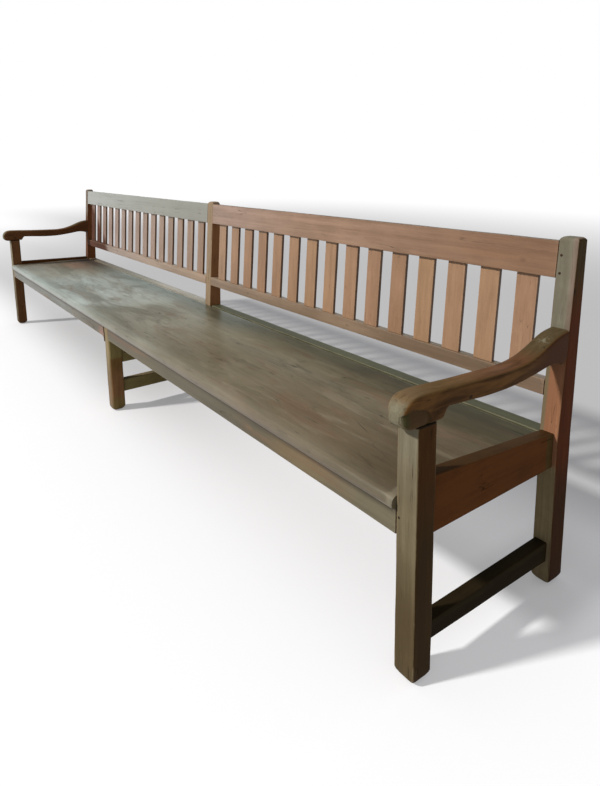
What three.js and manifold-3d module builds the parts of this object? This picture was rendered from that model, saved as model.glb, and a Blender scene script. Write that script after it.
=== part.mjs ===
// A long wooden deacon's bench with an open slatted back, two arms and three carrying frames.
// Millimetres, +Z up. Inside the bench, X runs along it from the middle of its length, Y runs back from
// the front faces of the legs, and Z is the height over the floor.
import * as THREE from 'three';
import { mergeVertices } from 'three/addons/utils/BufferGeometryUtils.js';
import Module from 'manifold-3d';

const wasm = await Module();
wasm.setup();

// Whole bench
const benchLength = 3894;
const middleFrameOffset = 42;
const fit = 0.3;
const overrun = 6;
const curveSteps = 4;

// Front legs of the end frames, and the deeper leg in the middle
const leg = { width: 60, depth: 59, shoulder: 607 };
const middleLeg = { width: 60, depth: 64 };

// Back posts: upright to the knee, then leaning back
const post = {
  width: 54, front: 525.5, footDepth: 63, knee: 425, top: 944, lean: 39.5, topDepth: 40, topRound: 14,
};

// Tenons, shared by all the rails
const tenon = { thickness: 12, length: 25, middleLength: 20, shoulder: 9 };
const legTopTenon = { width: 16, depth: 36, height: 40 };
const armTenon = { width: 16, height: 46 };

// Side rails, stretchers and the bearer of the middle frame; only the right-hand end has a stretcher
const sideRail = { thickness: 36, inset: 12, bottom: 344, backTop: 438 };
const sideRailFrontTop = { right: 480, left: 453 };
const endStretcher = { frontBottom: 82, backBottom: 70, top: 127 };
const middleStretcher = { bottom: 82, height: 58 };
const bearerBottom = 225;

// Seat: two boards that fall a little to the back
const seat = { thickness: 30, frontTop: 435, fall: 10, overhang: 12, noseRound: 17, underRound: 7 };
const seatFrontBoardShare = 0.5;
const cleat = { thickness: 24, height: 32, setBack: 4 };

// Front aprons, with a small hollow curve down to the middle leg
const apron = { thickness: 28, hollow: 25, tenonSetBack: 8 };
const apronBottom = { right: 344, left: 350 };

// Rear seat rails, rebated for the back edge of the seat
const rearRail = { thickness: 47, groove: 10.5, bottom: 344, lip: 20, tenonSetBack: 20 };

// Back, measured along the leaning front faces of the posts: the top rails hang down from the posts'
// tops, and the lower rails lie above their knees
const backRail = { thickness: 36 };
const topRail = { drop: 9.8, height: 96.3 };
const lowerRail = { rise: 103.8, height: 42.7 };
const slat = { width: 65, thickness: 12, setBack: 12, stub: 15 };
const slatsPerBay = 15;
const peg = { diameter: 7, length: 30, setIn: 11, sides: 12 };
const pegHeightShares = [0.38, 0.86];

// Arms: outline points are shares of the length to the post and of the height over the leg's shoulder
const arm = {
  noseReach: 44, noseRound: 18, rearTop: 107, rearBottom: 14,
  bracketReach: 17, bracketRise: 23, bracketRun: 21,
};
const armNoseShares = [
  [0.055, 0], [0.022, 0.05], [0.002, 0.19], [0.003, 0.36], [0.015, 0.49], [0.039, 0.6], [0.076, 0.655],
];
const armTopShares = [
  [0.15, 0.645], [0.234, 0.613], [0.345, 0.575], [0.497, 0.538], [0.616, 0.514],
  [0.693, 0.542], [0.752, 0.598], [0.813, 0.701], [0.876, 0.832], [0.93, 0.935],
];
const armUnderShares = [
  [0.353, 0.168], [0.458, 0.12], [0.587, 0.103], [0.68, 0.13], [0.777, 0.187], [0.88, 0.26], [0.94, 0.235],
];

// What follows from the sizes above
const halfLength = benchLength / 2;
const legInner = halfLength - leg.width;
const postInner = halfLength - post.width;
const railOuter = halfLength - sideRail.inset;
const railInner = railOuter - sideRail.thickness;
const railMiddle = (railOuter + railInner) / 2;
const leanAngle = Math.atan2(post.lean, post.top - post.knee);
const leanLength = Math.hypot(post.lean, post.top - post.knee);
const topRailPlace = { bottom: leanLength - topRail.drop - topRail.height, height: topRail.height };
const lowerRailPlace = { bottom: lowerRail.rise, height: lowerRail.height };
const backRailPlaces = [topRailPlace, lowerRailPlace];
const middleLegEdge = middleLeg.width / 2;
const middlePostEdge = post.width / 2;
const seatBack = post.front - fit;
const boardSeam = seatBack * seatFrontBoardShare;
const armFront = -arm.noseReach;

const topFrontOfPost = post.front + post.lean;
const benchBack = topFrontOfPost + post.topDepth;
const benchMiddleY = (armFront + benchBack) / 2;

// Heights of the seat's faces, and the leaning front face of the posts
function seatTopAt(y) {
  return seat.frontTop - seat.fall * y / seatBack;
}

function seatUnderAt(y) {
  return seatTopAt(y) - seat.thickness;
}

function postFrontAt(z) {
  return post.front + Math.max(z - post.knee, 0) * Math.tan(leanAngle);
}

// Woods, as the photograph shows them
const woods = {
  post: { color: 0x9a8f78, roughness: 0.55 },
  leg: { color: 0x8a7a64, roughness: 0.6 },
  arm: { color: 0x70582f, roughness: 0.45 },
  seat: { color: 0x76705c, roughness: 0.42 },
  apron: { color: 0x7d6f58, roughness: 0.55 },
  back: { color: 0x9c7357, roughness: 0.5 },
  slat: { color: 0xa87a5a, roughness: 0.55 },
  frame: { color: 0x42210f, roughness: 0.5 },
  hidden: { color: 0x5a4630, roughness: 0.7 },
  peg: { color: 0x2a1c12, roughness: 0.6 },
};

function wood(kind) {
  return new THREE.MeshStandardMaterial({ ...woods[kind], metalness: 0 });
}

// Solids from geometries, and back
function solidOf(geometry) {
  const bare = geometry.clone();
  bare.deleteAttribute('normal');
  bare.deleteAttribute('uv');
  const merged = mergeVertices(bare);
  const vertProperties = new Float32Array(merged.attributes.position.array);
  const triVerts = new Uint32Array(merged.index.array);
  return new wasm.Manifold(new wasm.Mesh({ numProp: 3, vertProperties, triVerts }));
}

function geometryOf(solid) {
  const mesh = solid.getMesh();
  const geometry = new THREE.BufferGeometry();
  geometry.setAttribute('position', new THREE.BufferAttribute(mesh.vertProperties, 3));
  geometry.setIndex(new THREE.BufferAttribute(mesh.triVerts, 1));
  geometry.computeVertexNormals();
  return geometry;
}

function joined(geometry, additions, cuts) {
  let solid = solidOf(geometry);
  for (const addition of additions) {
    solid = solid.add(solidOf(addition));
  }
  for (const cut of cuts) {
    solid = solid.subtract(solidOf(cut));
  }
  return geometryOf(solid);
}

// A straight block between two values on each axis
function block(x, y, z) {
  const geometry = new THREE.BoxGeometry(x[1] - x[0], y[1] - y[0], z[1] - z[0]);
  return geometry.translate((x[0] + x[1]) / 2, (y[0] + y[1]) / 2, (z[0] + z[1]) / 2);
}

function widened(range) {
  return [range[0] - fit, range[1] + fit];
}

// The tenon and the mortise of one joint, from the same three ranges
function tenonOf(joint) {
  return block(joint.x, joint.y, joint.z);
}

function mortiseOf(joint) {
  return block(widened(joint.x), widened(joint.y), widened(joint.z));
}

function joinedTenons(geometry, joints) {
  return joined(geometry, joints.map(tenonOf), []);
}

function shapeOf(outline) {
  return new THREE.Shape(outline.map(([across, up]) => new THREE.Vector2(across, up)));
}

function drawnOut(shape, depth) {
  return new THREE.ExtrudeGeometry(shape, { depth, bevelEnabled: false, curveSegments: curveSteps });
}

// A side shape of Y and Z values, drawn out along X
function drawnAlongX(shape, x) {
  const geometry = drawnOut(shape, x[1] - x[0]);
  const axes = new THREE.Matrix4().makeBasis(
    new THREE.Vector3(0, 1, 0), new THREE.Vector3(0, 0, 1), new THREE.Vector3(1, 0, 0));
  return geometry.applyMatrix4(axes).translate(x[0], 0, 0);
}

// The same geometry on the other side of the bench, with its faces still pointing out
function mirrored(geometry) {
  const flipped = geometry.clone().scale(-1, 1, 1);
  const corners = Array.from(flipped.index.array);
  const turned = [];
  for (let i = 0; i < corners.length; i += 3) {
    turned.push(corners[i], corners[i + 2], corners[i + 1]);
  }
  flipped.setIndex(turned);
  return flipped;
}

// Ranges along X are written for the right-hand end and turned over for the left-hand one
function onSide(side, range) {
  return side > 0 ? range : [-range[1], -range[0]];
}

// The matrix that takes the back's own upright frame to its lean
const leanMatrix = new THREE.Matrix4().makeRotationX(-leanAngle)
  .premultiply(new THREE.Matrix4().makeTranslation(0, post.front, post.knee));

const bench = new THREE.Group();
bench.position.y = -benchMiddleY;

const back = new THREE.Group();
back.applyMatrix4(leanMatrix);
bench.add(back);

function addPiece(group, name, geometry, kind) {
  const piece = new THREE.Mesh(geometry, wood(kind));
  piece.name = name;
  group.add(piece);
  return piece;
}

// Joints of the end frames, on the right-hand side of the bench
const tenonAcross = [railMiddle - tenon.thickness / 2, railMiddle + tenon.thickness / 2];
const armMiddle = halfLength - post.width / 2;
const legReach = [leg.depth - tenon.length, leg.depth + overrun];
const postReach = [post.front - overrun, post.front + tenon.length];
const railTenonHeight = [sideRail.bottom + tenon.shoulder, sideRail.backTop - tenon.shoulder];
const stretcherTenonHeight = [endStretcher.frontBottom + tenon.shoulder, endStretcher.top - tenon.shoulder];

const legToArm = {
  x: [armMiddle - legTopTenon.width / 2, armMiddle + legTopTenon.width / 2],
  y: [(leg.depth - legTopTenon.depth) / 2, (leg.depth + legTopTenon.depth) / 2],
  z: [leg.shoulder - overrun, leg.shoulder + legTopTenon.height],
};
const railToLeg = { x: tenonAcross, y: legReach, z: railTenonHeight };
const railToPost = { x: tenonAcross, y: postReach, z: railTenonHeight };
const stretcherToLeg = { x: tenonAcross, y: legReach, z: stretcherTenonHeight };
const stretcherToPost = { x: tenonAcross, y: postReach, z: stretcherTenonHeight };

const armTop = leg.shoulder + arm.rearTop;
const armRearBottom = leg.shoulder + arm.rearBottom;
const armRearMiddle = (armTop + armRearBottom) / 2;
const armRear = postFrontAt(armRearMiddle);
const armToPost = {
  x: [armMiddle - armTenon.width / 2, armMiddle + armTenon.width / 2],
  y: [armRear - overrun, armRear + tenon.length],
  z: [armRearMiddle - armTenon.height / 2, armRearMiddle + armTenon.height / 2],
};

// Joints of the aprons and the rear seat rails, given where they enter a leg or a post
const apronTenonDepth = [apron.tenonSetBack, apron.tenonSetBack + tenon.thickness];
const apronTenonHeight = [apronBottom.left + tenon.shoulder, seatUnderAt(apron.thickness) - tenon.shoulder];
const rearRailFront = post.front + rearRail.groove;
const rearRailTop = seatTopAt(seatBack);
const rearTenonFront = rearRailFront + rearRail.tenonSetBack;
const rearTenonDepth = [rearTenonFront, rearTenonFront + tenon.thickness];
const rearTenonHeight = [rearRail.bottom + tenon.shoulder, rearRailTop - tenon.shoulder];

function bayOf(side) {
  const legFace = middleFrameOffset + side * middleLegEdge;
  const postFace = middleFrameOffset + side * middlePostEdge;
  return { legFace, postFace, legEnd: side * legInner, postEnd: side * postInner };
}

function rangeBetween(a, b) {
  return [Math.min(a, b), Math.max(a, b)];
}

// A tenon at each end of a member that runs along X between two faces
function endJoints(side, middleFace, endFace, y, z) {
  return {
    middle: { x: rangeBetween(middleFace - side * tenon.middleLength, middleFace + side * overrun), y, z },
    end: { x: rangeBetween(endFace - side * overrun, endFace + side * tenon.length), y, z },
  };
}

function apronJoints(side) {
  const bay = bayOf(side);
  return endJoints(side, bay.legFace, bay.legEnd, apronTenonDepth, apronTenonHeight);
}

function rearRailJoints(side) {
  const bay = bayOf(side);
  return endJoints(side, bay.postFace, bay.postEnd, rearTenonDepth, rearTenonHeight);
}

function backRailJoints(side, rail) {
  const bay = bayOf(side);
  const middle = backRail.thickness / 2;
  const depth = [middle - tenon.thickness / 2, middle + tenon.thickness / 2];
  const height = [rail.bottom + tenon.shoulder, rail.bottom + rail.height - tenon.shoulder];
  return endJoints(side, bay.postFace, bay.postEnd, depth, height);
}

// Pegs that lock the top rail's tenons in the end posts, in the back's own frame
function pegPlaces(side) {
  const x = side * (postInner + peg.setIn);
  return pegHeightShares.map((share) => [x, topRailPlace.bottom + topRail.height * (1 - share)]);
}

function pegSolid(radius, length) {
  const geometry = new THREE.CylinderGeometry(radius, radius, length, peg.sides);
  return geometry.translate(0, length / 2, 0);
}

function pegHoles(side) {
  const bore = peg.diameter / 2 + fit;
  return pegPlaces(side).map(([x, z]) => {
    const hole = pegSolid(bore, peg.length + fit + overrun);
    return hole.translate(x, -overrun, z);
  });
}

// Front legs of the end frames
function frontLeg(side) {
  const body = block([legInner, halfLength], [0, leg.depth], [0, leg.shoulder]);
  const joints = side > 0 ? [railToLeg, stretcherToLeg] : [railToLeg];
  const cuts = [...joints, apronJoints(1).end].map(mortiseOf);
  const shaped = joined(body, [tenonOf(legToArm)], cuts);
  return side > 0 ? shaped : mirrored(shaped);
}

// Back posts
function postShape() {
  const footBack = post.front + post.footDepth;
  const shape = new THREE.Shape();
  shape.moveTo(post.front, 0);
  shape.lineTo(footBack, 0);
  shape.lineTo(footBack, post.knee);
  shape.lineTo(benchBack, post.top - post.topRound);
  shape.quadraticCurveTo(benchBack, post.top, benchBack - post.topRound, post.top);
  shape.lineTo(topFrontOfPost, post.top);
  shape.lineTo(post.front, post.knee);
  return shape;
}

function leaned(geometries) {
  return geometries.map((geometry) => geometry.applyMatrix4(leanMatrix));
}

function endPost(side) {
  const body = drawnAlongX(postShape(), onSide(side, [postInner, halfLength]));
  const joints = side > 0 ? [railToPost, armToPost, stretcherToPost] : [railToPost, armToPost];
  const sideCuts = joints.map((joint) => mortiseOf({
    x: onSide(side, joint.x), y: joint.y, z: joint.z,
  }));
  const railCuts = backRailPlaces.map((rail) => mortiseOf(backRailJoints(side, rail).end));
  const leaningCuts = leaned([...railCuts, ...pegHoles(side)]);
  return joined(body, [], [...sideCuts, mortiseOf(rearRailJoints(side).end), ...leaningCuts]);
}

// Arms
function armShape() {
  const run = armRear - armFront;
  const place = ([along, up]) => new THREE.Vector2(armFront + along * run, leg.shoulder + up * arm.rearTop);
  const bracketFoot = leg.depth + arm.bracketReach;
  const bracketTop = leg.shoulder + arm.bracketRise;
  const bracketEnd = bracketFoot + arm.bracketRun;
  const shape = new THREE.Shape();
  shape.moveTo(place(armNoseShares[0]).x, leg.shoulder + fit);
  shape.lineTo(bracketFoot, leg.shoulder + fit);
  shape.quadraticCurveTo(bracketFoot + arm.bracketRun / 2, bracketTop, bracketEnd, bracketTop);
  shape.splineThru(armUnderShares.map(place));
  shape.lineTo(postFrontAt(armRearBottom) - fit, armRearBottom);
  shape.lineTo(postFrontAt(armTop) - fit, armTop);
  shape.splineThru([...armNoseShares, ...armTopShares].reverse().map(place));
  return shape;
}

// The arm seen from above: as wide as the post, with the corners of its nose rounded
function armPlan() {
  const shape = new THREE.Shape();
  shape.moveTo(postInner, benchBack);
  shape.lineTo(postInner, armFront + arm.noseRound);
  shape.quadraticCurveTo(postInner, armFront, postInner + arm.noseRound, armFront);
  shape.lineTo(halfLength - arm.noseRound, armFront);
  shape.quadraticCurveTo(halfLength, armFront, halfLength, armFront + arm.noseRound);
  shape.lineTo(halfLength, benchBack);
  return drawnOut(shape, armTop + overrun);
}

function armPiece(side) {
  const long = solidOf(drawnAlongX(armShape(), [postInner, halfLength]));
  const body = geometryOf(long.intersect(solidOf(armPlan())));
  const shaped = joined(body, [tenonOf(armToPost)], [mortiseOf(legToArm)]);
  return side > 0 ? shaped : mirrored(shaped);
}

// Side rails of the end frames, and the stretcher of the right-hand one
const betweenLegAndPost = [leg.depth + fit, post.front - fit];

function sideRailPiece(side) {
  const [front, rear] = betweenLegAndPost;
  const frontTop = side > 0 ? sideRailFrontTop.right : sideRailFrontTop.left;
  const outline = [
    [front, sideRail.bottom], [rear, sideRail.bottom], [rear, sideRail.backTop], [front, frontTop],
  ];
  const body = drawnAlongX(shapeOf(outline), [railInner, railOuter]);
  const shaped = joinedTenons(body, [railToLeg, railToPost]);
  return side > 0 ? shaped : mirrored(shaped);
}

function endStretcherPiece() {
  const [front, rear] = betweenLegAndPost;
  const outline = [
    [front, endStretcher.frontBottom], [rear, endStretcher.backBottom],
    [rear, endStretcher.top], [front, endStretcher.top],
  ];
  const body = drawnAlongX(shapeOf(outline), [railInner, railOuter]);
  return joinedTenons(body, [stretcherToLeg, stretcherToPost]);
}

// Cleats inside the side rails, under the ends of the seat
function cleatPiece(side) {
  const front = leg.depth + cleat.setBack;
  const rear = post.front - rearRail.lip - cleat.setBack;
  const outline = [
    [front, seatUnderAt(front) - cleat.height], [rear, seatUnderAt(rear) - cleat.height],
    [rear, seatUnderAt(rear) - fit], [front, seatUnderAt(front) - fit],
  ];
  return drawnAlongX(shapeOf(outline), onSide(side, [railInner - fit - cleat.thickness, railInner - fit]));
}

for (const [side, word] of [[1, 'right'], [-1, 'left']]) {
  const frame = new THREE.Group();
  addPiece(frame, `front_leg_${word}`, frontLeg(side), 'leg');
  addPiece(frame, `back_post_${word}`, endPost(side), 'post');
  addPiece(frame, `arm_${word}`, armPiece(side), 'arm');
  addPiece(frame, `side_rail_${word}`, sideRailPiece(side), 'frame');
  if (side > 0) {
    addPiece(frame, 'stretcher_right', endStretcherPiece(), 'frame');
  }
  addPiece(frame, `seat_cleat_${word}`, cleatPiece(side), 'hidden');
  bench.add(frame);
}

// Middle frame: a leg under the seat, a full back post, a seat bearer and a stretcher
const middleAcross = [middleFrameOffset - tenon.thickness / 2, middleFrameOffset + tenon.thickness / 2];
const barAcross = [middleFrameOffset - sideRail.thickness / 2, middleFrameOffset + sideRail.thickness / 2];
const middleLegReach = [middleLeg.depth - tenon.length, middleLeg.depth + overrun];
const betweenMiddlePair = [middleLeg.depth + fit, post.front - fit];
const bearerTenonTop = seatUnderAt(post.front) - tenon.shoulder;
const bearerTenonHeight = [bearerBottom + tenon.shoulder, bearerTenonTop];
const middleStretcherTop = middleStretcher.bottom + middleStretcher.height;
const middleTenonHeight = [middleStretcher.bottom + tenon.shoulder, middleStretcherTop - tenon.shoulder];
const bearerToLeg = { x: middleAcross, y: middleLegReach, z: bearerTenonHeight };
const bearerToPost = { x: middleAcross, y: postReach, z: bearerTenonHeight };
const middleStretcherToLeg = { x: middleAcross, y: middleLegReach, z: middleTenonHeight };
const middleStretcherToPost = { x: middleAcross, y: postReach, z: middleTenonHeight };

function middleLegPiece() {
  const outline = [
    [0, 0], [middleLeg.depth, 0],
    [middleLeg.depth, seatUnderAt(middleLeg.depth) - fit], [0, seatUnderAt(0) - fit],
  ];
  const across = [middleFrameOffset - middleLegEdge, middleFrameOffset + middleLegEdge];
  const body = drawnAlongX(shapeOf(outline), across);
  const joints = [bearerToLeg, middleStretcherToLeg, apronJoints(1).middle, apronJoints(-1).middle];
  return joined(body, [], joints.map(mortiseOf));
}

function middlePostPiece() {
  const across = [middleFrameOffset - middlePostEdge, middleFrameOffset + middlePostEdge];
  const body = drawnAlongX(postShape(), across);
  const rearJoints = [rearRailJoints(1).middle, rearRailJoints(-1).middle];
  const uprightCuts = [bearerToPost, middleStretcherToPost, ...rearJoints];
  const railCuts = [1, -1].flatMap((side) => backRailPlaces.map(
    (rail) => mortiseOf(backRailJoints(side, rail).middle)));
  return joined(body, [], [...uprightCuts.map(mortiseOf), ...leaned(railCuts)]);
}

function bearerPiece() {
  const [front, rear] = betweenMiddlePair;
  const outline = [
    [front, bearerBottom], [rear, bearerBottom],
    [rear, seatUnderAt(rear) - fit], [front, seatUnderAt(front) - fit],
  ];
  return joinedTenons(drawnAlongX(shapeOf(outline), barAcross), [bearerToLeg, bearerToPost]);
}

function middleStretcherPiece() {
  const body = block(barAcross, betweenMiddlePair, [middleStretcher.bottom, middleStretcherTop]);
  return joinedTenons(body, [middleStretcherToLeg, middleStretcherToPost]);
}

const middleFrame = new THREE.Group();
addPiece(middleFrame, 'middle_leg', middleLegPiece(), 'leg');
addPiece(middleFrame, 'middle_post', middlePostPiece(), 'post');
addPiece(middleFrame, 'seat_bearer', bearerPiece(), 'hidden');
addPiece(middleFrame, 'stretcher_middle', middleStretcherPiece(), 'frame');
bench.add(middleFrame);

// Seat boards: the front one has a rounded nose and is notched round the end legs
function frontBoardShape() {
  const nose = -seat.overhang;
  const shape = new THREE.Shape();
  const underFront = seatUnderAt(nose);
  const topFront = seatTopAt(nose + seat.noseRound);
  shape.moveTo(nose + seat.underRound, underFront);
  shape.lineTo(boardSeam, seatUnderAt(boardSeam));
  shape.lineTo(boardSeam, seatTopAt(boardSeam));
  shape.lineTo(nose + seat.noseRound, topFront);
  shape.quadraticCurveTo(nose, topFront, nose, topFront - seat.noseRound);
  shape.lineTo(nose, underFront + seat.underRound);
  shape.quadraticCurveTo(nose, underFront, nose + seat.underRound, underFront);
  return shape;
}

const seatEnd = railInner - fit;

function frontBoard() {
  const body = drawnAlongX(frontBoardShape(), [-seatEnd, seatEnd]);
  const notchFront = -seat.overhang - overrun;
  const notches = [1, -1].map((side) => block(
    onSide(side, [legInner - fit, halfLength]), [notchFront, leg.depth + fit], [0, leg.shoulder]));
  return joined(body, [], notches);
}

function rearBoard() {
  const front = boardSeam + fit;
  const outline = [
    [front, seatUnderAt(front)], [seatBack, seatUnderAt(seatBack)],
    [seatBack, seatTopAt(seatBack)], [front, seatTopAt(front)],
  ];
  return drawnAlongX(shapeOf(outline), [-seatEnd, seatEnd]);
}

addPiece(bench, 'seat_board_front', frontBoard(), 'seat');
addPiece(bench, 'seat_board_rear', rearBoard(), 'seat');

// Aprons under the front edge; the left one ends in a hollow curve at the middle leg
function hollowCurve(face) {
  const bottom = apronBottom.left;
  const shape = new THREE.Shape();
  shape.moveTo(face, bottom + overrun);
  shape.lineTo(face - apron.hollow, bottom + overrun);
  shape.lineTo(face - apron.hollow, bottom);
  shape.quadraticCurveTo(face, bottom, face, bottom - apron.hollow);
  return drawnOut(shape, apron.thickness).rotateX(Math.PI / 2).translate(0, apron.thickness, 0);
}

function apronPiece(side) {
  const bay = bayOf(side);
  const x = rangeBetween(bay.legFace + side * fit, bay.legEnd - side * fit);
  const bottom = side > 0 ? apronBottom.right : apronBottom.left;
  const outline = [
    [0, bottom], [apron.thickness, bottom],
    [apron.thickness, seatUnderAt(apron.thickness) - fit], [0, seatUnderAt(0) - fit],
  ];
  const joints = apronJoints(side);
  const additions = [tenonOf(joints.middle), tenonOf(joints.end)];
  if (side < 0) {
    additions.push(hollowCurve(x[1]));
  }
  return joined(drawnAlongX(shapeOf(outline), x), additions, []);
}

// Rear seat rails, with a lip under the back edge of the seat and an open groove behind it
function rearRailPiece(side) {
  const bay = bayOf(side);
  const x = rangeBetween(bay.postFace + side * fit, bay.postEnd - side * fit);
  const lipFront = post.front - rearRail.lip;
  const rear = rearRailFront + rearRail.thickness;
  const outline = [
    [lipFront, rearRail.bottom], [rear, rearRail.bottom], [rear, rearRailTop], [rearRailFront, rearRailTop],
    [rearRailFront, seatUnderAt(seatBack) - fit], [lipFront, seatUnderAt(seatBack) - fit],
  ];
  const joints = rearRailJoints(side);
  return joinedTenons(drawnAlongX(shapeOf(outline), x), [joints.middle, joints.end]);
}

// Slat places in one bay, evenly spaced between its posts
function slatPlaces(side) {
  const bay = bayOf(side);
  const clear = Math.abs(bay.postEnd - bay.postFace);
  const gap = (clear - slatsPerBay * slat.width) / (slatsPerBay + 1);
  const places = [];
  for (let i = 0; i < slatsPerBay; i += 1) {
    places.push(bay.postFace + side * (gap + slat.width / 2 + i * (gap + slat.width)));
  }
  return places;
}

const slatDepth = [slat.setBack, slat.setBack + slat.thickness];
const slatFoot = lowerRailPlace.bottom + lowerRail.height - slat.stub;
const slatHead = topRailPlace.bottom + slat.stub;

function slatBlock(x, grow) {
  const half = slat.width / 2 + grow;
  const depth = [slatDepth[0] - grow, slatDepth[1] + grow];
  return block([x - half, x + half], depth, [slatFoot - grow, slatHead + grow]);
}

function backRailPiece(side, rail) {
  const bay = bayOf(side);
  const x = rangeBetween(bay.postFace + side * fit, bay.postEnd - side * fit);
  const body = block(x, [0, backRail.thickness], [rail.bottom, rail.bottom + rail.height]);
  const joints = backRailJoints(side, rail);
  const slatCuts = slatPlaces(side).map((place) => slatBlock(place, fit));
  const pegCuts = rail === topRailPlace ? pegHoles(side) : [];
  return joined(body, [tenonOf(joints.middle), tenonOf(joints.end)], [...slatCuts, ...pegCuts]);
}

for (const [side, word] of [[1, 'right'], [-1, 'left']]) {
  addPiece(bench, `apron_${word}`, apronPiece(side), 'apron');
  addPiece(bench, `rear_seat_rail_${word}`, rearRailPiece(side), 'hidden');
  addPiece(back, `top_rail_${word}`, backRailPiece(side, topRailPlace), 'back');
  addPiece(back, `lower_rail_${word}`, backRailPiece(side, lowerRailPlace), 'back');
  slatPlaces(side).forEach((place, i) => {
    const piece = addPiece(back, `slat_${word}_${String(i + 1).padStart(2, '0')}`, slatBlock(0, 0), 'slat');
    piece.position.x = place;
  });
  pegPlaces(side).forEach(([x, z], i) => {
    const piece = addPiece(back, `peg_${word}_${i + 1}`, pegSolid(peg.diameter / 2, peg.length), 'peg');
    piece.position.set(x, 0, z);
  });
}

export default bench;
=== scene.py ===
# %% [markdown]
# # A deacon's bench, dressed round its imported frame
# The real bench is joinery: three frames of legs and posts carry a long seat and a leaning back of slats.
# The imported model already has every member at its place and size. What Blender adds is what decades of use
# did to the wood: rounded arrises, uneven faces, worn varnish, knots, cracks and a soft sheen.

# %% Load the frame
import math
from contextlib import contextmanager

import bmesh
import bpy
import numpy as np
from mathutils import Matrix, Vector


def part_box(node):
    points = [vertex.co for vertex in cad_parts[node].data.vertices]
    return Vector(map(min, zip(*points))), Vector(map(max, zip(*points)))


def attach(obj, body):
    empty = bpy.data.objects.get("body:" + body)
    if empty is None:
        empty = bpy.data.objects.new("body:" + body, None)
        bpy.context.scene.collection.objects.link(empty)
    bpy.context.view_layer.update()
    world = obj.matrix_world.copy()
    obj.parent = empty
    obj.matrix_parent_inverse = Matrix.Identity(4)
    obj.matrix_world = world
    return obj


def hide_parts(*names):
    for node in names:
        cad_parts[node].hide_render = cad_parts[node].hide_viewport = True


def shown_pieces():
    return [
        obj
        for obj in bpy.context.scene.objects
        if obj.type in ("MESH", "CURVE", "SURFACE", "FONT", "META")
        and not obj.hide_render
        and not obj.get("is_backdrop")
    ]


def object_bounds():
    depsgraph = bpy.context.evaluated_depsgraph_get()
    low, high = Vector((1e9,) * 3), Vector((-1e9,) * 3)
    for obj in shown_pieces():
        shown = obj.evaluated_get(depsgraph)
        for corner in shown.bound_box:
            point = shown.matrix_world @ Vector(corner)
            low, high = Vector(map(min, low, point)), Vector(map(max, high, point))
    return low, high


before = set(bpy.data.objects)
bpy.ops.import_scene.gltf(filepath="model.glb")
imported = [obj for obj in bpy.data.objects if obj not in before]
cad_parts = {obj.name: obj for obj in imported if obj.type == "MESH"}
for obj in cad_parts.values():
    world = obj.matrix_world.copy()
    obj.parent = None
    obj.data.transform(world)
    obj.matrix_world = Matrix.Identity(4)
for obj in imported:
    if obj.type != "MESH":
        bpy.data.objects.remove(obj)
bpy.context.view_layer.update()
mm = 0.001

# %% [markdown]
# ## Camera, floor and light
# The photograph was taken with a wide lens from beyond the bench's right-hand end, a little over the height
# of the back. The camera gets that place and turn. A large pale plane is the floor. One lamp far away gives
# the shadows their direction, from the front and the left, and the world fills them in.

# %% Camera
camera_place = (2.7166, -1.1372, 1.1435)
camera_turn = (79.86, 0.78, 53.49)
camera_lens = 27.5
camera_sensor = 36
camera_shift = -0.16

camera_data = bpy.data.cameras.new("camera")
camera_data.lens = camera_lens
camera_data.sensor_width = camera_sensor
camera_data.shift_y = camera_shift
camera = bpy.data.objects.new("camera", camera_data)
camera.location = camera_place
camera.rotation_euler = [math.radians(angle) for angle in camera_turn]
bpy.context.scene.collection.objects.link(camera)
bpy.context.scene.camera = camera
bpy.context.scene.view_settings.view_transform = "Standard"
print("camera at", camera_place, "with a lens of", camera_lens, "mm")

# %% Floor
floor_reach = 60


def deselect_all():
    for other in list(bpy.context.selected_objects):
        other.select_set(False)


def select_only(piece):
    """Selects one piece alone and makes it the active one."""
    deselect_all()
    piece.select_set(True)
    bpy.context.view_layer.objects.active = piece


deselect_all()
bpy.ops.mesh.primitive_plane_add(size=floor_reach, location=(0, 0, 0))
floor = bpy.context.active_object
floor.name = "floor"
floor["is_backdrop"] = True

# %% Lamp
sun_from_left = 22
sun_height = 38
sun_strength = 3.1
sun_angle = 4.6
sun_colour = (1.0, 0.985, 0.96)

sun_data = bpy.data.lights.new("window_light", "SUN")
sun_data.energy = sun_strength
sun_data.angle = math.radians(sun_angle)
sun_data.color = sun_colour
sun = bpy.data.objects.new("window_light", sun_data)
sun.rotation_euler = (math.radians(90 - sun_height), 0, math.radians(-sun_from_left))
bpy.context.scene.collection.objects.link(sun)
print("lamp from", sun_from_left, "degrees left of the front,", sun_height, "degrees up")

# %% [markdown]
# ## A small language for finishes
# A finish is a net of shader nodes. Written out link by link it can't be read, so three small classes help.
# Socket lets a sum be written as in Python, Net adds any other node in one call, and Finish is a material
# with its own net.

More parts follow.
